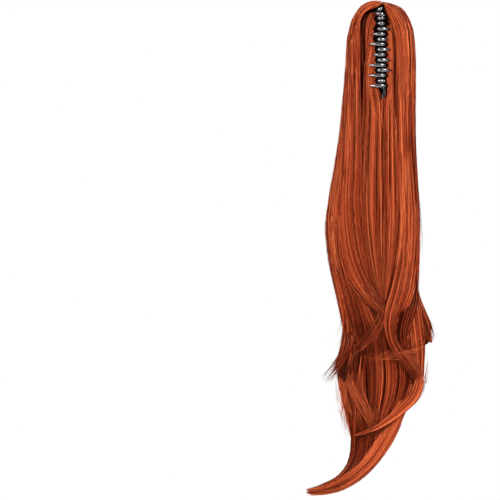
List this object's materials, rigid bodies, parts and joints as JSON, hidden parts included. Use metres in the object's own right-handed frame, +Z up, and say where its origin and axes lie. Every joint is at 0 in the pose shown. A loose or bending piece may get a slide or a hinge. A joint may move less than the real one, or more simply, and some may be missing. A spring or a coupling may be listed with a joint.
{
  "type": "claw clip ponytail hairpiece",
  "caption": "Long layered ponytail hairpiece with a rounded crown of hair round a spring claw clip with interlocking teeth.",
  "frame": {"origin": "middle of the space that the two jaws grip, half way down the row of teeth", "axes": "+Z up towards the crown, the tail hanging along -Z; -Y towards the wearer, where the clip opens; +X to the right seen from the wearer's side"},
  "size_m": [0.1462, 0.0575, 0.5683],
  "materials": {
    "hair_outer": "glossy copper-red synthetic hair, straight",
    "hair_inner": "copper-red synthetic hair, darker in the shade of the crown",
    "clip_gunmetal": "glossy dark grey, metal-coated",
    "clip_steel": "bare spring steel",
    "binding_thread": "matt black thread"
  },
  "bodies": {
    "hair": {"outer_fall": "hair_outer", "inner_fall": "hair_inner", "hinge_pin": "clip_steel", "torsion_spring": "clip_steel"},
    "left_jaw": {"jaw_left": "clip_gunmetal", "weft_left": "hair_inner"},
    "right_jaw": {"jaw_right": "clip_gunmetal", "weft_right": "hair_inner", "thread_knot": "binding_thread"}
  },
  "joints": [
    {"name": "jaw_left_open", "type": "hinge", "parent": "hair", "child": "left_jaw", "pos_m": [0, 0.015, 0], "axis": [0, 0, -1], "range_deg": [0, 30], "stiffness_Nm_per_rad": 0.05, "springref_deg": -20.05},
    {"name": "jaw_right_open", "type": "hinge", "parent": "hair", "child": "right_jaw", "pos_m": [0, 0.015, 0], "axis": [0, 0, 1], "range_deg": [0, 30], "stiffness_Nm_per_rad": 0.05, "springref_deg": -20.05}
  ]
}
